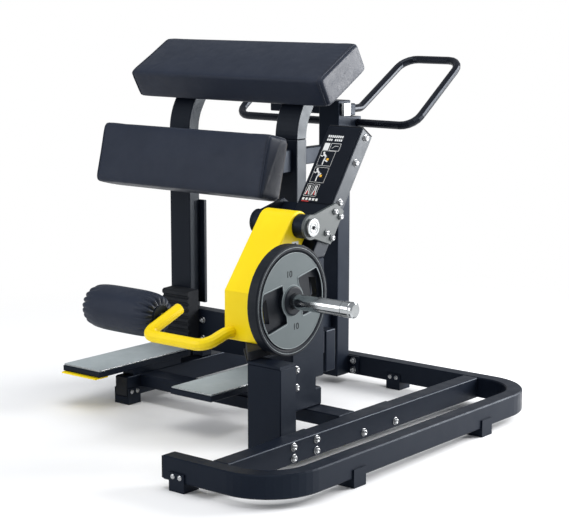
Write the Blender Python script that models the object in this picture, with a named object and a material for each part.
"""Unilateral hamstring machine: a plate-loaded standing leg curl.

X runs to the user's right, Y the way the user faces, Z up, in metres. X = 0 is the middle of the left
footplate's roller, and the floor is Z = 0. The empty called machine then carries everything to the point
below the middle of the whole machine.
"""
import math

import bmesh
import bpy
from mathutils import Matrix, Vector

for old in list(bpy.data.objects):
    bpy.data.objects.remove(old, do_unlink=True)

# ---- Clearances -------------------------------------------------------------
GAP = 0.0003              # between faces that touch
BOLT_R = 0.008            # bolt head radius
BOLT_H = 0.007            # bolt head height
PLATE_T = 0.008           # steel mounting plates
BITE = 0.002              # how deep a welded piece reaches into the next
WALL = 0.0035             # wall of the square and flat tubes

# ---- Base -------------------------------------------------------------------
FOOT_H = 0.028            # floor to the underside of the base tubes
BASE_H = 0.074            # height of the base tubes
LOOP_W = 0.056            # width of the bent loop's tube
LOOP_RIGHT = 1.058        # outer face of the loop's web
LOOP_FAR = 0.165          # far face of the far leg
LOOP_NEAR = -1.300        # near face of the near leg
LOOP_R = 0.190            # outer corner radius
LOOP_END_X = 0.613        # where the near leg ends
MAIN_X = 0.795            # middle of the main base beam
MAIN_W = 0.060
LEFT_BEAM_X = -0.175      # middle of the left base beam
LEFT_BEAM_W = 0.060
LEFT_BEAM_NEAR = -0.680
CROSS_NEAR = -0.620       # near face of the cross member
CROSS_W = 0.086
CROSS_H = 0.045
CROSS_FLANGE = 0.260      # width of the plate that bolts the cross member to the main beam
FOOT_WALL = 0.005         # foot bracket steel
FOOT_LEN = 0.060
FOOT_EAR = 0.030          # how far a foot bracket climbs the tube
WEB_FEET = (-0.915, -0.205)   # middles of the two feet under the loop's web
FAR_FOOT = 0.458          # middle of the foot under the far leg

# ---- Uprights ---------------------------------------------------------------
UPRIGHT_W = 0.100
UPRIGHT_D = 0.055
UPRIGHT_FRONT = -0.280    # front faces of both uprights and of the cross panel
UPRIGHT_TOP = 0.948       # where the uprights' tops start to curve back
ARCH_R = 0.160            # inner radius of those curved tops
ARCH_TURN = 32            # degrees that they curve
RIGHT_UPRIGHT_X = 0.257   # middle of the right upright
PANEL_TOP = 0.285
PANEL_H = 0.150
PANEL_END_X = 0.440       # right end of the cross panel
STRIP_W = 0.025           # how far the strip behind the left upright stands out
STRIP_ZS = (0.300, 0.690)
REAR_X = 0.204            # middle of the rear column
REAR_W = 0.092
REAR_D = 0.075
REAR_TOP = 1.065
TOWER_X = 0.5475          # middle of the lever tower
TOWER_W = 0.145
TOWER_FRONT = -0.600
TOWER_D = 0.077
TOWER_TOP = 0.600         # where the tower starts to lean
LEAN = math.radians(34.8)
BEAM_LEN = 0.500          # leaning beam's front edge
SIGN_LEN = 0.285          # length of the instruction plate on the leaning beam
SIGN_DROP = 0.010         # from the beam's top end to the plate
BEAM_BOLTS = (0.270, 0.118, 0.022)    # bolts down the beam's side, from its top end
STOP_W = 0.134            # width of the stop post, which stands against the main beam
STOP_NEAR = -0.920
STOP_D = 0.080
STOP_TOP = 0.312

# ---- Lever ------------------------------------------------------------------
PIVOT_Y = -0.605
PIVOT_Z = 0.708
SHAFT_R = 0.0125
HUB_R = 0.040
LEVER_X = 0.510           # middle of the lever
LEVER_W = 0.140
HEAD_R = 0.049            # the lever's round head
LEVER_FRONT = -0.820
LEVER_BOTTOM = 0.350
LEVER_DEPTH = 0.120
HORN_Y = -0.760
HORN_Z = 0.4955
HORN_R = 0.025
HORN_TIP = 0.915
DISC_X = 0.635            # inner face of the weight plate
DISC_R = 0.180
DISC_T = 0.050
FACE_R = 0.155            # raised face of the weight plate
ARM_R = 0.020             # roller arm tube
ARM_Y = -0.930
ARM_Z = 0.346
ARM_X = 0.190             # the short end arm that holds the axle
ROLLER_X = 0.0
ROLLER_Y = -0.825
ROLLER_Z = 0.388
ROLLER_R = 0.080
ROLLER_LEN = 0.320
AXLE_R = 0.012

# ---- Pads, footplates and handles -------------------------------------------
CHEST_X = -0.0025
CHEST_LEN = 0.915
CHEST_WIDE = 0.262
CHEST_T = 0.120
CHEST_Y = -0.1995
CHEST_Z = 1.177
CHEST_TILT = math.radians(30.0)
THIGH_X = -0.0065
THIGH_LEN = 0.807
THIGH_H = 0.230
THIGH_T = 0.110
THIGH_FRONT = -0.555      # front face at the pad's middle height
THIGH_TILT = math.radians(14.0)
THIGH_Z = 0.874
BOARD_T = 0.012
TREAD_TOP = 0.150
TREAD_T = 0.005
TRAY_T = 0.020
TREAD_W = 0.185
TREAD_NEAR = -0.820
TREAD_LEN = 0.460
LEFT_TREAD_X = -0.2375
RIGHT_TREAD_X = 0.2875
HANDLE_R = 0.015
HANDLE_BAR_Y = 0.180
HANDLE_BAR_Z = 0.975
HANDLE_FAR = 0.500
HANDLE_TOP = 1.200
HANDLE_OUT = 0.425        # loop's outer side, from the middle between the two loops
HANDLE_IN = 0.165         # loop's inner side, from the same middle
HANDLE_MID = 0.055

# ---- Places that follow -----------------------------------------------------
BASE_TOP = FOOT_H + BASE_H
LOOP_INNER_NEAR = LOOP_NEAR + LOOP_W
LOOP_INNER_FAR = LOOP_FAR - LOOP_W
MAIN_L = MAIN_X - MAIN_W / 2
MAIN_R = MAIN_X + MAIN_W / 2
LEFT_L = LEFT_BEAM_X - LEFT_BEAM_W / 2
LEFT_R = LEFT_BEAM_X + LEFT_BEAM_W / 2
CROSS_FAR = CROSS_NEAR + CROSS_W
UPRIGHT_BACK = UPRIGHT_FRONT + UPRIGHT_D
LEFT_UPRIGHT_X = LEFT_L - GAP - UPRIGHT_W / 2
REAR_BACK = LOOP_INNER_FAR - GAP
REAR_FRONT = REAR_BACK - REAR_D
TOWER_L = TOWER_X - TOWER_W / 2
TOWER_R = TOWER_X + TOWER_W / 2
TOWER_BACK = TOWER_FRONT + TOWER_D
LEVER_L = LEVER_X - LEVER_W / 2
LEVER_R = LEVER_X + LEVER_W / 2
STOP_R = MAIN_L - PLATE_T - 2 * GAP
STOP_L = STOP_R - STOP_W
STOP_FAR = STOP_NEAR + STOP_D
GUSSET_T = 0.010
GUSSET_L = LEVER_L - 0.040      # outer face of the left gusset
DATUM_X = (CHEST_X - CHEST_LEN / 2 + LOOP_RIGHT + GAP + FOOT_WALL) / 2
DATUM_Y = (LOOP_NEAR - GAP - FOOT_WALL + HANDLE_FAR + HANDLE_R) / 2

# ---- Looks ------------------------------------------------------------------
BLACK = ((0.018, 0.019, 0.023), 0.42, 0.35)
STEEL = ((0.62, 0.63, 0.65), 0.22, 1.0)
YELLOW = ((0.92, 0.80, 0.03), 0.35, 0.0)
LEATHER = ((0.030, 0.033, 0.042), 0.60, 0.0)
RUBBER = ((0.020, 0.020, 0.022), 0.80, 0.0)
GREY = ((0.34, 0.36, 0.38), 0.55, 0.1)
PALE = ((0.60, 0.62, 0.63), 0.75, 0.0)
WHITE = ((0.85, 0.85, 0.83), 0.50, 0.0)
WOOD = ((0.10, 0.08, 0.06), 0.80, 0.0)


def empty(name, point, parent=None):
    """Make an empty at a point given in the design frame."""
    obj = bpy.data.objects.new(name, None)
    bpy.context.collection.objects.link(obj)
    obj["at"] = tuple(point)
    if parent:
        obj.parent = parent
        obj.location = Vector(point) - Vector(parent["at"])
    return obj


MACHINE = empty("machine", (0, 0, 0))
MACHINE.location = (-DATUM_X, -DATUM_Y, 0)
LEVER_AXIS = empty("lever_axis", (LEVER_X, PIVOT_Y, PIVOT_Z), MACHINE)
ROLLER_AXIS = empty("roller_axis", (ROLLER_X, ROLLER_Y, ROLLER_Z), LEVER_AXIS)
HORN_AXIS = empty("horn_axis", (DISC_X, HORN_Y, HORN_Z), LEVER_AXIS)


def dress(obj, look):
    """Give an object a material of its own."""
    colour, rough, metal = look
    mat = bpy.data.materials.new(obj.name + "_finish")
    mat.use_nodes = True
    shader = mat.node_tree.nodes["Principled BSDF"]
    shader.inputs["Base Color"].default_value = (*colour, 1)
    shader.inputs["Roughness"].default_value = rough
    shader.inputs["Metallic"].default_value = metal
    obj.data.materials.append(mat)


def place(name, bm, look, frame=MACHINE, bevel=0.0, steps=1):
    """Turn a bmesh in the design frame into a named object with its origin at its middle."""
    bmesh.ops.recalc_face_normals(bm, faces=bm.faces)
    low = Vector([min(v.co[i] for v in bm.verts) for i in range(3)])
    high = Vector([max(v.co[i] for v in bm.verts) for i in range(3)])
    middle = (low + high) / 2
    if frame is not MACHINE:
        middle = Vector(frame["at"])
    bmesh.ops.translate(bm, verts=bm.verts, vec=-middle)
    mesh = bpy.data.meshes.new(name)
    bm.to_mesh(mesh)
    bm.free()
    mesh.shade_smooth()
    mesh.set_sharp_from_angle(angle=math.radians(40))
    obj = bpy.data.objects.new(name, mesh)
    bpy.context.collection.objects.link(obj)
    obj.parent = frame
    obj.location = middle - Vector(frame["at"])
    dress(obj, look)
    if bevel:
        mod = obj.modifiers.new("edges", "BEVEL")
        mod.width = bevel
        mod.segments = steps
        mod.limit_method = "ANGLE"
        mod.angle_limit = math.radians(50)
    return obj


def add_box(bm, x0, x1, y0, y1, z0, z1):
    """Add a box from its faces' places."""
    size = Matrix.Diagonal((x1 - x0, y1 - y0, z1 - z0, 1))
    spot = Matrix.Translation(((x0 + x1) / 2, (y0 + y1) / 2, (z0 + z1) / 2))
    bmesh.ops.create_cube(bm, size=1, matrix=spot @ size)
    return bm


def box(name, look, xs, ys, zs, bevel=0.003, steps=1, frame=MACHINE):
    """Make a box object from three pairs of faces."""
    bm = add_box(bmesh.new(), *xs, *ys, *zs)
    return place(name, bm, look, frame, bevel, steps)


def add_prism(bm, axis, outline, lo, hi):
    """Extrude a closed outline along X, Y or Z. The outline gives the other two coordinates in order."""
    spots = {"X": lambda a, b: (lo, a, b), "Y": lambda a, b: (a, lo, b), "Z": lambda a, b: (a, b, lo)}
    face = bm.faces.new([bm.verts.new(spots[axis](a, b)) for a, b in outline])
    grown = bmesh.ops.extrude_face_region(bm, geom=[face])["geom"]
    tops = [item for item in grown if isinstance(item, bmesh.types.BMVert)]
    shift = Vector([hi - lo if letter == axis else 0 for letter in "XYZ"])
    bmesh.ops.translate(bm, verts=tops, vec=shift)
    return bm


def prism(name, look, axis, outline, lo, hi, bevel=0.003, steps=1, frame=MACHINE):
    """Make an extruded outline object."""
    return place(name, add_prism(bmesh.new(), axis, outline, lo, hi), look, frame, bevel, steps)


def arc(cx, cy, radius, start, end, steps):
    """Points on an arc, with angles in degrees."""
    turns = [math.radians(start + (end - start) * i / steps) for i in range(steps + 1)]
    return [(cx + radius * math.cos(t), cy + radius * math.sin(t)) for t in turns]


def fillet(points, radii, steps=5):
    """Round the inner corners of an open path in space, each by its own radius."""
    path = [Vector(points[0])]
    for i in range(1, len(points) - 1):
        here = Vector(points[i])
        back = (Vector(points[i - 1]) - here).normalized()
        ahead = (Vector(points[i + 1]) - here).normalized()
        half = back.angle(ahead) / 2
        reach = radii[i - 1] / math.tan(half)
        centre = here + (back + ahead).normalized() * (radii[i - 1] / math.sin(half))
        first = here + back * reach - centre
        last = here + ahead * reach - centre
        turn = first.angle(last)
        for k in range(steps + 1):
            a = math.sin(turn * (1 - k / steps)) / math.sin(turn)
            b = math.sin(turn * k / steps) / math.sin(turn)
            path.append(centre + first * a + last * b)
    path.append(Vector(points[-1]))
    return path


def tube(name, look, path, radius, frame=MACHINE):
    """Make a round tube along a path, as a curve with closed ends."""
    curve = bpy.data.curves.new(name, "CURVE")
    curve.dimensions = "3D"
    curve.bevel_depth = radius
    curve.bevel_resolution = 4
    curve.use_fill_caps = True
    spline = curve.splines.new("POLY")
    spline.points.add(len(path) - 1)
    base = Vector(frame["at"])
    for point, spot in zip(spline.points, path):
        point.co = (*(Vector(spot) - base), 1)
    obj = bpy.data.objects.new(name, curve)
    bpy.context.collection.objects.link(obj)
    obj.parent = frame
    dress(obj, look)
    return obj


def add_turned(bm, centre, axis, profile, sides, wave=None):
    """Turn a closed profile of (along, radius) pairs round an axis through a point.

    A profile that starts and ends at radius 0 makes a solid, and any other a ring. wave(angle, row) scales
    the radius, for pleats.
    """
    rot = Vector((1, 0, 0)).rotation_difference(Vector(axis)).to_matrix()
    rings = []
    for row, (along, radius) in enumerate(profile):
        if radius < 1e-7:
            rings.append([bm.verts.new(Vector(centre) + rot @ Vector((along, 0, 0)))])
            continue
        ring = []
        for k in range(sides):
            t = math.tau * k / sides
            r = radius * (wave(t, row) if wave else 1)
            ring.append(bm.verts.new(Vector(centre) + rot @ Vector((along, r * math.cos(t), r * math.sin(t)))))
        rings.append(ring)
    pairs = list(zip(rings, rings[1:]))
    if len(rings[0]) > 1:
        pairs.append((rings[-1], rings[0]))
    for a, b in pairs:
        for k in range(sides):
            j = (k + 1) % sides
            corners = [a[k % len(a)], a[j % len(a)], b[j % len(b)], b[k % len(b)]]
            bm.faces.new(list(dict.fromkeys(corners)))
    return bm


def turned(name, look, centre, axis, profile, sides=32, frame=MACHINE, wave=None):
    """Make a turned object."""
    return place(name, add_turned(bmesh.new(), centre, axis, profile, sides, wave), look, frame)


def rod(length, radius, start=0.0):
    """Profile of a plain solid cylinder."""
    return [(start, 0), (start, radius), (start + length, radius), (start + length, 0)]


def ring(length, outer, inner, start=0.0):
    """Profile of a plain ring."""
    return [(start, inner), (start, outer), (start + length, outer), (start + length, inner)]


def change(obj, bm, name, operation):
    """Cut or weld an object with a hidden helper built in the design frame."""
    bmesh.ops.recalc_face_normals(bm, faces=bm.faces)
    mesh = bpy.data.meshes.new(name)
    bm.to_mesh(mesh)
    bm.free()
    tool = bpy.data.objects.new(name, mesh)
    bpy.context.collection.objects.link(tool)
    tool.parent = MACHINE
    tool.hide_render = True
    tool.display_type = "WIRE"
    mod = obj.modifiers.new(name, "BOOLEAN")
    mod.operation = operation
    mod.object = tool


def cut(obj, bm, name):
    """Take a shape away from an object."""
    change(obj, bm, name, "DIFFERENCE")


def weld(obj, bm, name):
    """Join a shape that overlaps an object to it."""
    change(obj, bm, name, "UNION")


def hollow(obj, name, axis, spans, shut=()):
    """Make a box beam a tube along axis. shut names the ends, low or high, that keep a wall."""
    faces = []
    for letter, (lo, hi) in zip("XYZ", spans):
        if letter == axis:
            faces += [lo + WALL if "low" in shut else lo - 0.01, hi - WALL if "high" in shut else hi + 0.01]
        else:
            faces += [lo + WALL, hi - WALL]
    cut(obj, add_box(bmesh.new(), *faces), name)


def bolts(obj, spots, name):
    """Set bolt heads on washers into an object. Each spot is a point on a face and the way the head stands."""
    bm = bmesh.new()
    t = BOLT_R * 0.25
    profile = [(-BITE, 0), (-BITE, BOLT_R * 1.5), (t, BOLT_R * 1.5), (t, BOLT_R), (BOLT_H, BOLT_R), (BOLT_H, 0)]
    for point, axis in spots:
        add_turned(bm, point, axis, profile, 10)
    weld(obj, bm, name)


# ---- Base loop: a tube bent into a U that opens to the left ------------------
def loop_outline(inset, over):
    """The loop seen from above, drawn in by inset all round and with its two ends lengthened by over."""
    far_y = LOOP_FAR - LOOP_R
    near_y = LOOP_NEAR + LOOP_R
    bend_x = LOOP_RIGHT - LOOP_R
    big = LOOP_R - inset
    small = LOOP_R - LOOP_W + inset
    outline = [(LEFT_L - over, far_y + big)] + arc(bend_x, far_y, big, 90, 0, 12)
    outline += arc(bend_x, near_y, big, 0, -90, 12)
    outline += [(LOOP_END_X - over, near_y - big), (LOOP_END_X - over, near_y - small)]
    outline += arc(bend_x, near_y, small, -90, 0, 12) + arc(bend_x, far_y, small, 0, 90, 12)
    return outline + [(LEFT_L - over, far_y + small)]


loop = prism("base_loop", BLACK, "Z", loop_outline(0, 0), FOOT_H, BASE_TOP, 0.004, 1)
inside = add_prism(bmesh.new(), "Z", loop_outline(2 * WALL, 0.01), FOOT_H + 2 * WALL, BASE_TOP - 2 * WALL)
cut(loop, inside, "loop_inside")

main_near = LOOP_INNER_NEAR + GAP
main_far = LOOP_INNER_FAR - GAP
main_beam = box("main_base_beam", BLACK, (MAIN_L, MAIN_R), (main_near, main_far), (FOOT_H, BASE_TOP), 0.004, 2)
hollow(main_beam, "main_inside", "Y", ((MAIN_L, MAIN_R), (main_near, main_far), (FOOT_H, BASE_TOP)))
left_spans = ((LEFT_L, LEFT_R), (LEFT_BEAM_NEAR, main_far), (FOOT_H, BASE_TOP))
hollow(box("left_base_beam", BLACK, *left_spans, 0.004, 2), "left_inside", "Y", left_spans)
flange_l = MAIN_L - GAP - PLATE_T
cross_z = (BASE_TOP - CROSS_H, BASE_TOP)
cross = box("cross_member", BLACK, (LEFT_R + GAP, flange_l + BITE), (CROSS_NEAR, CROSS_FAR), cross_z)
flange_zs = (FOOT_H + 0.004, BASE_TOP - 0.002)
cross_flange_ys = (CROSS_NEAR, CROSS_NEAR + CROSS_FLANGE)
weld(cross, add_box(bmesh.new(), flange_l, MAIN_L - GAP, *cross_flange_ys, *flange_zs), "cross_flange")
cross_spans = ((LEFT_R + GAP, flange_l), (CROSS_NEAR, CROSS_FAR), cross_z)
hollow(cross, "cross_inside", "X", cross_spans, ("high",))

plug_t = 0.004
box("near_leg_plug", RUBBER, (LOOP_END_X - GAP - plug_t, LOOP_END_X - GAP),
    (LOOP_NEAR + 0.003, LOOP_INNER_NEAR - 0.003), (FOOT_H + 0.003, BASE_TOP - 0.003), 0.0)
box("left_beam_plug", RUBBER, (LEFT_L + 0.003, LEFT_R - 0.003),
    (LEFT_BEAM_NEAR - GAP - plug_t, LEFT_BEAM_NEAR - GAP), (FOOT_H + 0.003, BASE_TOP - 0.003), 0.0)


def foot(name, axis, middle, across, width):
    """Make a U-shaped foot under a tube that runs along axis."""
    half = width / 2 + GAP
    ear = FOOT_H + FOOT_EAR
    shelf = FOOT_H - GAP
    outline = [(across - half - FOOT_WALL, 0), (across + half + FOOT_WALL, 0),
               (across + half + FOOT_WALL, ear), (across + half, ear), (across + half, shelf),
               (across - half, shelf), (across - half, ear), (across - half - FOOT_WALL, ear)]
    start = middle - FOOT_LEN / 2
    prism(name, RUBBER, axis, outline, start, start + FOOT_LEN, 0.0)


near_mid = LOOP_NEAR + LOOP_W / 2
web_mid = LOOP_RIGHT - LOOP_W / 2
far_mid = LOOP_FAR - LOOP_W / 2
foot("foot_near_leg", "X", LOOP_END_X + 0.062, near_mid, LOOP_W)
foot("foot_web_near", "Y", WEB_FEET[0], web_mid, LOOP_W)
foot("foot_web_far", "Y", WEB_FEET[1], web_mid, LOOP_W)
foot("foot_far_leg", "X", FAR_FOOT, far_mid, LOOP_W)
foot("foot_left_beam", "Y", LEFT_BEAM_NEAR + FOOT_LEN / 2 - 0.002, LEFT_BEAM_X, LEFT_BEAM_W)

# ---- Stop post, which the lever rests on ------------------------------------
post = box("stop_post", BLACK, (STOP_L, STOP_R + BITE), (STOP_NEAR, STOP_FAR), (FOOT_H, STOP_TOP))
stop_flange_ys = (STOP_NEAR - 0.038, STOP_FAR + 0.038)
weld(post, add_box(bmesh.new(), flange_l, MAIN_L - GAP, *stop_flange_ys, *flange_zs), "stop_flange")
hollow(post, "post_inside", "Z", ((STOP_L, STOP_R), (STOP_NEAR, STOP_FAR), (FOOT_H, STOP_TOP)), ("high",))
shelf_z = STOP_TOP + GAP
bumper_far = LEVER_FRONT + 0.090
bumper_near = LEVER_FRONT + 0.030
shelf = [(LEVER_X - 0.010, bumper_near - 0.004), (STOP_L, STOP_NEAR), (STOP_R, STOP_NEAR),
         (STOP_R, STOP_FAR - 0.004), (STOP_L, STOP_FAR - 0.004), (STOP_L, bumper_far + 0.004),
         (LEVER_X - 0.010, bumper_far + 0.004)]
prism("stop_shelf", BLACK, "Z", shelf, shelf_z, shelf_z + PLATE_T, 0.0)
bumper_zs = (shelf_z + PLATE_T + GAP, LEVER_BOTTOM - GAP)
bumper_r = DISC_X - 0.005
bumper = [(LEVER_X - 0.005, bumper_near), (STOP_L, STOP_NEAR + 0.003), (bumper_r, STOP_NEAR + 0.003),
          (bumper_r, STOP_FAR - 0.008), (STOP_L - 0.003, STOP_FAR - 0.008), (STOP_L - 0.003, bumper_far),
          (LEVER_X - 0.005, bumper_far)]
prism("stop_bumper", RUBBER, "Z", bumper, *bumper_zs, 0.002)

# ---- Uprights and rear column -------------------------------------------------
left_xs = (LEFT_UPRIGHT_X - UPRIGHT_W / 2, LEFT_UPRIGHT_X + UPRIGHT_W / 2)
right_xs = (RIGHT_UPRIGHT_X - UPRIGHT_W / 2, RIGHT_UPRIGHT_X + UPRIGHT_W / 2)
upright_ys = (UPRIGHT_FRONT, UPRIGHT_BACK)
for name, xs, low in (("left_upright", left_xs, FOOT_H), ("right_upright", right_xs, PANEL_TOP + GAP)):
    spans = (xs, upright_ys, (low, UPRIGHT_TOP))
    upright = box(name, BLACK, *spans, 0.004, 2)
    if name == "left_upright":
        strip_xs = (left_xs[1] - 0.020, left_xs[1] + STRIP_W)
        weld(upright, add_box(bmesh.new(), *strip_xs, UPRIGHT_BACK - BITE, UPRIGHT_BACK + 0.010, *STRIP_ZS), "strip")
    hollow(upright, name + "_inside", "Z", spans)
panel_xs = (left_xs[1] + GAP, PANEL_END_X)
panel_zs = (PANEL_TOP - PANEL_H, PANEL_TOP)
panel = box("cross_panel", BLACK, panel_xs, upright_ys, panel_zs, 0.004, 2)
hollow(panel, "panel_inside", "X", (panel_xs, upright_ys, panel_zs), ("high",))
foot_rise = (BASE_TOP + GAP, PANEL_TOP - PANEL_H - GAP)
box("panel_foot", BLACK, (LEFT_L + 0.005, LEFT_R - 0.005), upright_ys, foot_rise)
rear_xs = (REAR_X - REAR_W / 2, REAR_X + REAR_W / 2)
column = box("rear_column", BLACK, rear_xs, (REAR_FRONT, REAR_BACK), (FOOT_H, REAR_TOP), 0.004, 2)
rear_flange_xs = (rear_xs[1] - 0.010, rear_xs[1] + 0.050)
rear_flange = add_box(bmesh.new(), *rear_flange_xs, REAR_BACK - PLATE_T, REAR_BACK - GAP, *flange_zs)
weld(column, rear_flange, "rear_flange")
hollow(column, "column_inside", "Z", (rear_xs, (REAR_FRONT, REAR_BACK), (FOOT_H, REAR_TOP)), ("high",))
link_xs = (REAR_X - 0.020, REAR_X + 0.020)
low_link = (PANEL_TOP - 0.070, PANEL_TOP - 0.010)
link_ys = (UPRIGHT_BACK + GAP, REAR_FRONT - GAP)
hollow(box("lower_link", BLACK, link_xs, link_ys, low_link), "lower_inside", "Y", (link_xs, link_ys, low_link))
high_link_xs = (right_xs[0] + 0.004, rear_xs[1] - 0.004)
high_link = (UPRIGHT_TOP - 0.100, UPRIGHT_TOP - 0.040)
upper_spans = (high_link_xs, link_ys, high_link)
hollow(box("upper_link", BLACK, *upper_spans), "upper_inside", "Y", upper_spans)

# ---- Lever tower: an upright foot that leans back into a long beam ------------
deep = TOWER_FRONT - 0.090
tower = [(deep, BASE_TOP + GAP), (CROSS_FAR, BASE_TOP + GAP),
         (CROSS_FAR, 0.163), (TOWER_BACK - 0.040, 0.163), (TOWER_BACK - 0.040, 0.199),
         (TOWER_BACK, 0.199), (TOWER_BACK, TOWER_TOP), (TOWER_FRONT, TOWER_TOP),
         (TOWER_FRONT, 0.345), (deep, 0.300)]
lever_tower = prism("lever_tower", BLACK, "X", tower, TOWER_L, TOWER_R, 0.004, 1)
core_ys = (TOWER_FRONT + WALL, TOWER_BACK - WALL)
cut(lever_tower, add_box(bmesh.new(), TOWER_L + WALL, TOWER_R - WALL, *core_ys, 0.210, TOWER_TOP + 0.01), "tower_inside")
rise = math.cos(LEAN)
run = math.sin(LEAN)
beam_z = TOWER_TOP + GAP
beam_front = (TOWER_FRONT + BEAM_LEN * run, beam_z + BEAM_LEN * rise)
beam_thick = TOWER_D * rise
beam_back = (beam_front[0] + beam_thick * rise, beam_front[1] - beam_thick * run)
lean = [(TOWER_FRONT, beam_z), (TOWER_BACK, beam_z), beam_back, beam_front]
tower_beam = prism("tower_beam", BLACK, "X", lean, TOWER_L, TOWER_R, 0.004, 2)


def on_beam(along, out):
    """A point (y, z) at a distance along the leaning beam's front face, and out from it."""
    return (TOWER_FRONT + along * run - out * rise, beam_z + along * rise + out * run)


bore = [on_beam(0.020, -WALL), on_beam(0.080, WALL - beam_thick),
        on_beam(BEAM_LEN + 0.01, WALL - beam_thick), on_beam(BEAM_LEN + 0.01, -WALL)]
cut(tower_beam, add_prism(bmesh.new(), "X", bore, TOWER_L + WALL, TOWER_R - WALL), "beam_inside")
cap = [on_beam(BEAM_LEN + GAP, -0.001), on_beam(BEAM_LEN + GAP, 0.001 - beam_thick),
       on_beam(BEAM_LEN + 0.004, 0.001 - beam_thick), on_beam(BEAM_LEN + 0.004, -0.001)]
prism("tower_beam_cap", RUBBER, "X", cap, TOWER_L + 0.001, TOWER_R - 0.001, 0.001)
sign_high = BEAM_LEN - SIGN_DROP
sign_low = sign_high - SIGN_LEN
sign = [on_beam(sign_low, GAP), on_beam(sign_high, GAP), on_beam(sign_high, 0.003), on_beam(sign_low, 0.003)]
prism("instruction_plate", RUBBER, "X", sign, TOWER_L + 0.006, TOWER_R - 0.006, 0.0)
tower_link_ys = (TOWER_BACK + GAP, UPRIGHT_FRONT - GAP)
tower_link_zs = (PANEL_TOP - 0.080, PANEL_TOP)
link_w = 0.055


def link_outline(inset, over):
    """The slanting tube from the tower's back to the cross panel's front, seen from above."""
    near, far = tower_link_ys
    slant = (TOWER_L + 0.005 - (PANEL_END_X - link_w - 0.005)) / (far - near)
    x_near, x_far = TOWER_L + 0.005 + slant * over, PANEL_END_X - link_w - 0.005 - slant * over
    return [(x_near + inset, near - over), (x_near + link_w - inset, near - over),
            (x_far + link_w - inset, far + over), (x_far + inset, far + over)]


link = prism("tower_link", BLACK, "Z", link_outline(0, 0), *tower_link_zs)
cut(link, add_prism(bmesh.new(), "Z", link_outline(WALL, 0.01), tower_link_zs[0] + WALL, tower_link_zs[1] - WALL),
    "link_inside")

# ---- Pivot: two gussets, the shaft between them and its caps -------------------
def gusset(name, x0):
    """A plate that is round at the pivot and runs back along the leaning beam's side."""
    outline = arc(PIVOT_Y, PIVOT_Z, HUB_R + 0.002, 70, 290, 14)
    outline += [on_beam(0.088, -0.058), on_beam(0.214, -0.058), on_beam(0.214, -0.004)]
    obj = prism(name, GREY, "X", outline, x0, x0 + GUSSET_T, 0.001)
    hole = add_turned(bmesh.new(), (x0 - 0.01, PIVOT_Y, PIVOT_Z), (1, 0, 0),
                      rod(GUSSET_T + 0.02, SHAFT_R + GAP), 32)
    cut(obj, hole, name + "_hole")
    return obj


gusset_right_x = TOWER_R + GAP
gusset_right = gusset("gusset_right", gusset_right_x)
gusset_left = gusset("gusset_left", GUSSET_L)
spacer = [on_beam(0.095, -0.006), on_beam(0.205, -0.012), on_beam(0.205, -0.056), on_beam(0.095, -0.056)]
weld(gusset_left, add_prism(bmesh.new(), "X", spacer, GUSSET_L + GUSSET_T - BITE, TOWER_L - GAP), "gusset_boss")
shaft_end = gusset_right_x + GUSSET_T
cap_r = 0.030
cap_t = 0.008
head_x = GUSSET_L - GAP - cap_t
turned("pivot_shaft", STEEL, (head_x, PIVOT_Y, PIVOT_Z), (1, 0, 0),
       [(0, 0), (0, cap_r - 0.002), (0.002, cap_r), (cap_t, cap_r), (cap_t, SHAFT_R),
        (shaft_end - head_x, SHAFT_R), (shaft_end - head_x, 0)])
turned("shaft_cap", STEEL, (shaft_end + GAP, PIVOT_Y, PIVOT_Z), (1, 0, 0),
       [(0, 0), (0, cap_r), (cap_t - 0.002, cap_r), (cap_t, cap_r - 0.002), (cap_t, 0)])

# ---- Lever: a yellow channel that turns about the shaft ------------------------
LEVER_WALL = 0.006
lever_rear = LEVER_FRONT + LEVER_DEPTH
front_knee = (LEVER_FRONT, LEVER_BOTTOM + 0.161)
rear_knee = (lever_rear + 0.025, LEVER_BOTTOM + 0.180)


def tangent(point, side):
    """Angle on the lever's round head where a line to a point touches it, in degrees."""
    dy = point[0] - PIVOT_Y
    dz = point[1] - PIVOT_Z
    return math.degrees(math.atan2(dz, dy) + side * math.acos(HEAD_R / math.hypot(dy, dz)))


profile = arc(PIVOT_Y, PIVOT_Z, HEAD_R, tangent(rear_knee, 1), tangent(front_knee, -1) + 360, 16)
profile += [front_knee, (LEVER_FRONT, LEVER_BOTTOM), (lever_rear, LEVER_BOTTOM),
            (lever_rear, LEVER_BOTTOM + 0.100), rear_knee]
lever = prism("lever_body", YELLOW, "X", profile, LEVER_L, LEVER_R, 0.005, 2, LEVER_AXIS)
bore = add_turned(bmesh.new(), (LEVER_L - 0.01, PIVOT_Y, PIVOT_Z), (1, 0, 0),
                  rod(LEVER_W + 0.02, HUB_R + GAP), 40)
cut(lever, bore, "hub_bore")
w = LEVER_WALL
hollow = [(LEVER_FRONT + w, front_knee[1] - w), (LEVER_FRONT + w, LEVER_BOTTOM - 0.01),
          (lever_rear - w, LEVER_BOTTOM - 0.01), (lever_rear - w, LEVER_BOTTOM + 0.105),
          (rear_knee[0] - 1.5 * w, rear_knee[1] + w), (PIVOT_Y - 0.035, PIVOT_Z - 0.073),
          (PIVOT_Y - 0.060, PIVOT_Z - 0.045)]
cut(lever, add_prism(bmesh.new(), "X", hollow, LEVER_L + w, LEVER_R - w), "lever_hollow")
hub_start = GUSSET_L + GUSSET_T + GAP
turned("lever_hub", BLACK, (hub_start, PIVOT_Y, PIVOT_Z), (1, 0, 0),
       ring(TOWER_R - hub_start, HUB_R, SHAFT_R + GAP), 40, LEVER_AXIS)
label = add_box(bmesh.new(), LEVER_R + GAP, LEVER_R + 0.002, PIVOT_Y - 0.040, PIVOT_Y - 0.008,
                PIVOT_Z - 0.081, PIVOT_Z - 0.048)
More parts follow.
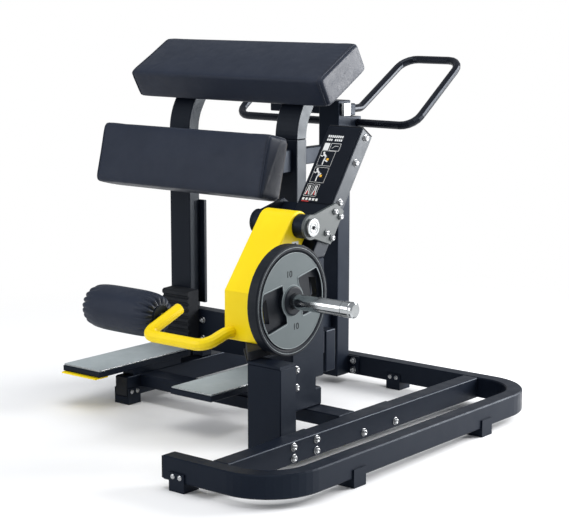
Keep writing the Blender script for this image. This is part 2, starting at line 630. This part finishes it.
place("number_plate", label, WHITE, LEVER_AXIS)
horn_x = LEVER_R + GAP
horn_len = HORN_TIP - horn_x
turned("weight_horn", STEEL, (horn_x, HORN_Y, HORN_Z), (1, 0, 0),
       [(0, 0), (0, HORN_R), (horn_len - 0.002, HORN_R), (horn_len - 0.002, HORN_R - 0.002),
        (horn_len, HORN_R - 0.002), (horn_len, HORN_R), (horn_len + 0.007, HORN_R),
        (horn_len + 0.011, HORN_R - 0.005), (horn_len + 0.011, 0)], 40, LEVER_AXIS)
turned("horn_collar", STEEL, (horn_x, HORN_Y, HORN_Z), (1, 0, 0),
       ring(DISC_X - GAP - horn_x, HORN_R + 0.012, HORN_R + GAP), 40, LEVER_AXIS)

# ---- Roller arm: a bent tube, with the axle on its short end -------------------
arm_start = LEVER_FRONT - GAP
arm_end = (ARM_X, ROLLER_Y + 0.060, ROLLER_Z + 0.020)
corners = [(LEVER_L + 0.030, arm_start, ARM_Z + 0.030), (LEVER_L + 0.030, arm_start - 0.030, ARM_Z + 0.030),
           (LEVER_L + 0.015, ARM_Y, ARM_Z), (ARM_X, ARM_Y, ARM_Z), arm_end]
tube("roller_arm", YELLOW, fillet(corners, [0.040, 0.050, 0.038], 6), ARM_R, LEVER_AXIS)
aim = (Vector(arm_end) - Vector(corners[3])).normalized()
turned("roller_arm_cap", RUBBER, Vector(arm_end) + aim * GAP, aim,
       [(0, 0), (0, ARM_R), (0.003, ARM_R), (0.005, ARM_R - 0.003), (0.005, 0)], 12, LEVER_AXIS)
half = ROLLER_LEN / 2
axle_right = ARM_X - ARM_R - GAP
flange_t = 0.003
nut_x = ROLLER_X - half - 2 * GAP - flange_t - 0.008
axle_len = axle_right - nut_x
turned("roller_axle", STEEL, (nut_x, ROLLER_Y, ROLLER_Z), (1, 0, 0),
       [(0, 0), (0, 0.018), (0.008, 0.018), (0.008, AXLE_R), (axle_len, AXLE_R), (axle_len, 0)], 24, LEVER_AXIS)
CORE_R = 0.030
middle = (ROLLER_X, ROLLER_Y, ROLLER_Z)
e = half + GAP
turned("roller_core", STEEL, middle, (1, 0, 0),
       [(-e - flange_t, AXLE_R + GAP), (-e - flange_t, CORE_R + 0.008), (-e, CORE_R + 0.008), (-e, CORE_R),
        (e, CORE_R), (e, CORE_R + 0.008), (e + flange_t, CORE_R + 0.008), (e + flange_t, AXLE_R + GAP)],
       24, ROLLER_AXIS)
r = ROLLER_R
skin = [(half, CORE_R + GAP), (half, r - 0.040), (half - 0.002, r - 0.020), (half - 0.009, r - 0.008),
        (half - 0.025, r - 0.001), (half - 0.050, r)]
skin += [(-along, radius) for along, radius in reversed(skin)]
PLEATS = 16
depth = [0, 0.05, 0.06, 0.035, 0.012, 0]
depth += depth[::-1]
turned("roller_pad", LEATHER, middle, (1, 0, 0), skin[::-1], 4 * PLEATS, ROLLER_AXIS,
       lambda t, row: 1 + depth[row] * (math.cos(PLEATS * t) - 1) / 2)

# ---- Weight plate, loose on the horn --------------------------------------------
t = DISC_T
plate = [(0, HORN_R + 0.001), (0, 0.060), (0.008, 0.066), (0.008, FACE_R - 0.005), (0.003, FACE_R + 0.003),
         (0.003, DISC_R - 0.004), (0.007, DISC_R), (t - 0.011, DISC_R), (t - 0.007, DISC_R - 0.004),
         (t - 0.007, FACE_R + 0.008), (t - 0.012, FACE_R + 0.002), (t - 0.008, FACE_R), (t - 0.008, 0.051),
         (t - 0.002, 0.046), (t, 0.042), (t, HORN_R + 0.001)]
disc = turned("weight_plate", GREY, (DISC_X, HORN_Y, HORN_Z), (1, 0, 0), plate, 56, HORN_AXIS)
LEAN_OF_GRIPS = 11        # degrees that the pair of grips is turned


def polar(radius, angle):
    """A point (y, z) round the horn's axis."""
    a = math.radians(angle)
    return (HORN_Y + radius * math.cos(a), HORN_Z + radius * math.sin(a))


pockets = bmesh.new()
slots = bmesh.new()
for side in (0, 180):
    a = LEAN_OF_GRIPS + side
    wedge = arc(HORN_Y, HORN_Z, FACE_R - 0.004, a - 26, a + 26, 8)
    wedge += [polar(0.074, a + 58)] + arc(HORN_Y, HORN_Z, 0.054, a + 44, a - 44, 8) + [polar(0.074, a - 58)]
    add_prism(pockets, "X", wedge, DISC_X + t - 0.022, DISC_X + t + 0.02)
    grip = [polar(math.hypot(u, v), a + math.degrees(math.atan2(v, u)))
            for u, v in ((0.108, -0.042), (0.140, -0.030), (0.140, 0.030), (0.108, 0.042))]
    add_prism(slots, "X", grip, DISC_X - 0.02, DISC_X + t + 0.02)
cut(disc, pockets, "plate_pockets")
cut(disc, slots, "plate_slots")

# ---- Pads on their boards -------------------------------------------------------
def stations(half, edge, count):
    """Places along one axis of a cushion, closer together at its rounded edges."""
    inner = [-half + edge + (2 * half - 2 * edge) * i / count for i in range(count + 1)]
    return [-half, -half + 0.25 * edge] + inner + [half - 0.25 * edge, half]


def cushion(name, centre, size, tilt, edge, crown, counts):
    """A stuffed pad: rounded edges, a crown on both broad faces and long sides that draw in at the middle."""
    half = [size[0] / 2, size[1] / 2, size[2] / 2 - crown]
    marks = [stations(h, edge, n) for h, n in zip(half, counts)]
    last = [len(m) - 1 for m in marks]
    bm = bmesh.new()
    turn = Matrix.Rotation(tilt, 3, "X")
    made = {}

    def corner(i, j, k):
        if (i, j, k) not in made:
            p = Vector((marks[0][i], marks[1][j], marks[2][k]))
            core = Vector([max(-h + edge, min(h - edge, c)) for c, h in zip(p, half)])
            p = core + (p - core).normalized() * edge
            across = (1 - (p.x / half[0]) ** 2) * (1 - (p.y / half[1]) ** 2)
            drawn = 0.004 * (1 - (p.x / half[0]) ** 4) * (1 - (p.z / half[2]) ** 2) * (p.y / half[1]) ** 3
            p.z += crown * across * p.z / half[2]
            p.y -= drawn
            made[i, j, k] = bm.verts.new(Vector(centre) + turn @ p)
        return made[i, j, k]

    for axis in range(3):
        u, v = [a for a in range(3) if a != axis]
        for end in (0, last[axis]):
            for a in range(last[u]):
                for b in range(last[v]):
                    quad = []
                    for da, db in ((0, 0), (1, 0), (1, 1), (0, 1)):
                        spot = [0, 0, 0]
                        spot[axis] = end
                        spot[u] = a + da
                        spot[v] = b + db
                        quad.append(corner(*spot))
                    bm.faces.new(quad)
    return place(name, bm, LEATHER)


chest = Vector((CHEST_X, CHEST_Y, CHEST_Z))
cushion("chest_pad", chest, (CHEST_LEN, CHEST_WIDE, CHEST_T), CHEST_TILT, 0.022, 0.006, (12, 5, 2))
thigh = Vector((THIGH_X, THIGH_FRONT + THIGH_T / 2, THIGH_Z))
cushion("thigh_pad", thigh, (THIGH_LEN, THIGH_H, THIGH_T), math.radians(90) - THIGH_TILT, 0.030, 0.006, (12, 5, 2))


def on_chest(across, below):
    """A point (y, z) across the chest pad from its middle, and square below its lower face."""
    c = math.cos(CHEST_TILT)
    s = math.sin(CHEST_TILT)
    down = CHEST_T / 2 + below
    return (CHEST_Y + across * c + down * s, CHEST_Z + across * s - down * c)


def under_chest(y):
    """Height of the lower face of the chest pad's board at a given y."""
    spot = on_chest(0, GAP + BOARD_T + GAP)
    return spot[1] + (y - spot[0]) * math.tan(CHEST_TILT)


def on_thigh(up, behind):
    """A point (y, z) up the thigh pad from its middle, and square behind its back face."""
    c = math.cos(THIGH_TILT)
    s = math.sin(THIGH_TILT)
    back = THIGH_T / 2 + behind
    return (thigh.y + up * s + back * c, thigh.z + up * c - back * s)


def behind_thigh(z):
    """How far back the thigh board's back face is at a given height."""
    spot = on_thigh(0, GAP + BOARD_T + GAP)
    return spot[0] + (z - spot[1]) * math.tan(THIGH_TILT)


board_half = CHEST_WIDE / 2 - 0.045
board = [on_chest(-board_half, GAP), on_chest(board_half, GAP),
         on_chest(board_half, GAP + BOARD_T), on_chest(-board_half, GAP + BOARD_T)]
prism("chest_board", WOOD, "X", board, CHEST_X - CHEST_LEN / 2 + 0.050, CHEST_X + CHEST_LEN / 2 - 0.050, 0.0)
arch_y = UPRIGHT_BACK + ARCH_R
arch_z = UPRIGHT_TOP + GAP
arch_lean = math.radians(ARCH_TURN)


def to_board(spot):
    """Carries a point on in the arch's last direction to the underside of the chest board."""
    reach = (under_chest(spot[0]) - spot[1]) / (math.cos(arch_lean) - math.sin(arch_lean) * math.tan(CHEST_TILT))
    return (spot[0] + reach * math.sin(arch_lean), spot[1] + reach * math.cos(arch_lean))


arch_back = arc(arch_y, arch_z, ARCH_R, 180, 180 - ARCH_TURN, 8)
arch_front = arc(arch_y, arch_z, ARCH_R + UPRIGHT_D, 180 - ARCH_TURN, 180, 8)
outline = arch_back + [to_board(arch_back[-1]), to_board(arch_front[0])] + arch_front
for side, xs in (("left", left_xs), ("right", right_xs)):
    prism("chest_bracket_" + side, BLACK, "X", outline, *xs, 0.003)
half = THIGH_H / 2 - 0.020
board = [on_thigh(-half, GAP), on_thigh(half, GAP), on_thigh(half, GAP + BOARD_T), on_thigh(-half, GAP + BOARD_T)]
prism("thigh_board", WOOD, "X", board, THIGH_X - THIGH_LEN / 2 + 0.025, THIGH_X + THIGH_LEN / 2 - 0.025, 0.0)
arm_zs = (THIGH_Z - 0.040, THIGH_Z + 0.040)
arm = [(behind_thigh(z), z) for z in arm_zs] + [(UPRIGHT_FRONT - GAP, z) for z in arm_zs[::-1]]
for side, xs in (("left", left_xs), ("right", right_xs)):
    prism("thigh_arm_" + side, BLACK, "X", arm, xs[0] + 0.020, xs[1] - 0.020)

RIBS = 8
RIB_Z0 = 0.160
RIB_Z1 = 0.360
rib_front = UPRIGHT_FRONT - 0.060
pitch = (RIB_Z1 - RIB_Z0) / RIBS
ribs = [(UPRIGHT_FRONT - GAP, RIB_Z1), (UPRIGHT_FRONT - GAP, RIB_Z0)]
for i in range(RIBS):
    base = RIB_Z0 + i * pitch
    ribs += [(rib_front + 0.007, base + 0.08 * pitch), (rib_front, base + 0.30 * pitch),
             (rib_front, base + 0.70 * pitch), (rib_front + 0.007, base + 0.92 * pitch)]
prism("ribbed_stop_pad", RUBBER, "X", ribs, left_xs[0] + 0.010, left_xs[1] + 0.040, 0.0)

# ---- Footplates -------------------------------------------------------------------
tray_top = TREAD_TOP - TREAD_T - GAP
tray_low = tray_top - TRAY_T
tread_ys = (TREAD_NEAR, TREAD_NEAR + TREAD_LEN)
left_riser = (LEFT_L + 0.006, LEFT_R - 0.002, LEFT_BEAM_NEAR + 0.030, TREAD_NEAR + TREAD_LEN - 0.040)
right_riser = (RIGHT_TREAD_X - TREAD_W / 2 + 0.010, RIGHT_TREAD_X + TREAD_W / 2 - 0.010,
               CROSS_NEAR + 0.006, CROSS_FAR - 0.006)
for side, x, riser in (("left", LEFT_TREAD_X, left_riser), ("right", RIGHT_TREAD_X, right_riser)):
    xs = (x - TREAD_W / 2, x + TREAD_W / 2)
    tray = box(side + "_tray", BLACK, xs, tread_ys, (tray_low, tray_top), 0.002)
    under = [xs[0] + WALL, xs[1] - WALL, tread_ys[0] + WALL, tread_ys[1] - WALL]
    cut(tray, add_box(bmesh.new(), *under, tray_low - 0.01, tray_top - WALL), side + "_under")
    weld(tray, add_box(bmesh.new(), *riser, BASE_TOP + GAP, tray_top - 0.001), side + "_riser")
    inset = 0.003
    box(side + "_tread", PALE, (xs[0] + inset, xs[1] - inset), (tread_ys[0] + inset, tread_ys[1] - inset),
        (tray_top + GAP, TREAD_TOP), 0.001)
lip_xs = (LEFT_TREAD_X - TREAD_W / 2 + 0.006, LEFT_TREAD_X + TREAD_W / 2 - 0.006)
box("tray_lip", YELLOW, lip_xs, (TREAD_NEAR - 0.014, TREAD_NEAR + 0.050), (tray_low - GAP - 0.006, tray_low - GAP),
    0.002)

# ---- Handles ------------------------------------------------------------------------
beam_ys = (REAR_BACK + GAP, REAR_BACK + GAP + 0.030)
beam_zs = (REAR_TOP - 0.058, REAR_TOP - 0.014)
bracket = box("handle_bracket", BLACK, (HANDLE_MID - HANDLE_IN - 0.028, rear_xs[1]), beam_ys, beam_zs)
clamp_half = 0.025
clamp_xs = (REAR_X - clamp_half, REAR_X + clamp_half)
clamp_ys = (beam_ys[0], HANDLE_BAR_Y + HANDLE_R + 0.005)
clamp = add_box(bmesh.new(), *clamp_xs, *clamp_ys, HANDLE_BAR_Z - 0.024, HANDLE_BAR_Z + 0.024)
weld(bracket, clamp, "bar_clamp")
neck_xs = (clamp_xs[0] + 0.005, clamp_xs[1] - 0.005)
neck = add_box(bmesh.new(), *neck_xs, beam_ys[0] + 0.005, beam_ys[0] + 0.017, HANDLE_BAR_Z, beam_zs[0] + 0.005)
weld(bracket, neck, "bracket_neck")
root_y = beam_ys[1] + GAP
root_z = (beam_zs[0] + beam_zs[1]) / 2
for name, side, start in (("right_handle", 1, clamp_xs[1] + GAP), ("left_handle", -1, clamp_xs[0] - GAP)):
    inner = HANDLE_MID + side * HANDLE_IN
    outer_x = HANDLE_MID + side * HANDLE_OUT
    route = [(start, HANDLE_BAR_Y, HANDLE_BAR_Z), (outer_x, HANDLE_BAR_Y, HANDLE_BAR_Z),
             (outer_x, HANDLE_FAR, HANDLE_TOP), (inner, HANDLE_FAR, HANDLE_TOP),
             (inner, root_y + 0.070, root_z), (inner, root_y, root_z)]
    tube(name, BLACK, fillet(route, [0.060, 0.060, 0.060, 0.050]), HANDLE_R)
box("column_lug", STEEL, (rear_xs[1] + GAP, rear_xs[1] + 0.018), (REAR_FRONT + 0.012, REAR_FRONT + 0.052),
    (REAR_TOP - 0.055, REAR_TOP - 0.008), 0.002)

# ---- Bolts ----------------------------------------------------------------------------
rows = (FOOT_H + 0.019, BASE_TOP - 0.019)
spots = [((MAIN_R, y, z), (1, 0, 0)) for y in (STOP_NEAR - 0.017, STOP_FAR + 0.017) for z in rows]
spots += [((MAIN_R, CROSS_NEAR + d, FOOT_H + 0.022), (1, 0, 0)) for d in (0.046, CROSS_FLANGE - 0.038)]
bolts(main_beam, spots, "main_beam_bolts")
flange_mid = rear_flange_xs[1] - 0.025
bolts(column, [((flange_mid, REAR_BACK - PLATE_T, z), (0, -1, 0)) for z in rows], "column_bolts")
grid = [(along, out) for along in (0.108, 0.188) for out in (-0.014, -0.049)]
bolts(gusset_right, [((gusset_right_x + GUSSET_T, *on_beam(a, o)), (1, 0, 0)) for a, o in grid], "right_bolts")
bolts(gusset_left, [((GUSSET_L, *on_beam(a, o)), (-1, 0, 0)) for a, o in grid], "left_bolts")
bolts(tower_beam, [((TOWER_R, *on_beam(BEAM_LEN - a, -0.032)), (1, 0, 0)) for a in BEAM_BOLTS], "beam_bolts")
bolts(lever_tower, [((TOWER_R, TOWER_FRONT - 0.070, z), (1, 0, 0)) for z in (0.184, 0.244)], "tower_bolts")
panel_rows = (PANEL_TOP - 0.110, PANEL_TOP - 0.040)
bolts(panel, [((left_xs[1] + 0.060, UPRIGHT_FRONT, z), (0, -1, 0)) for z in panel_rows], "panel_bolts")
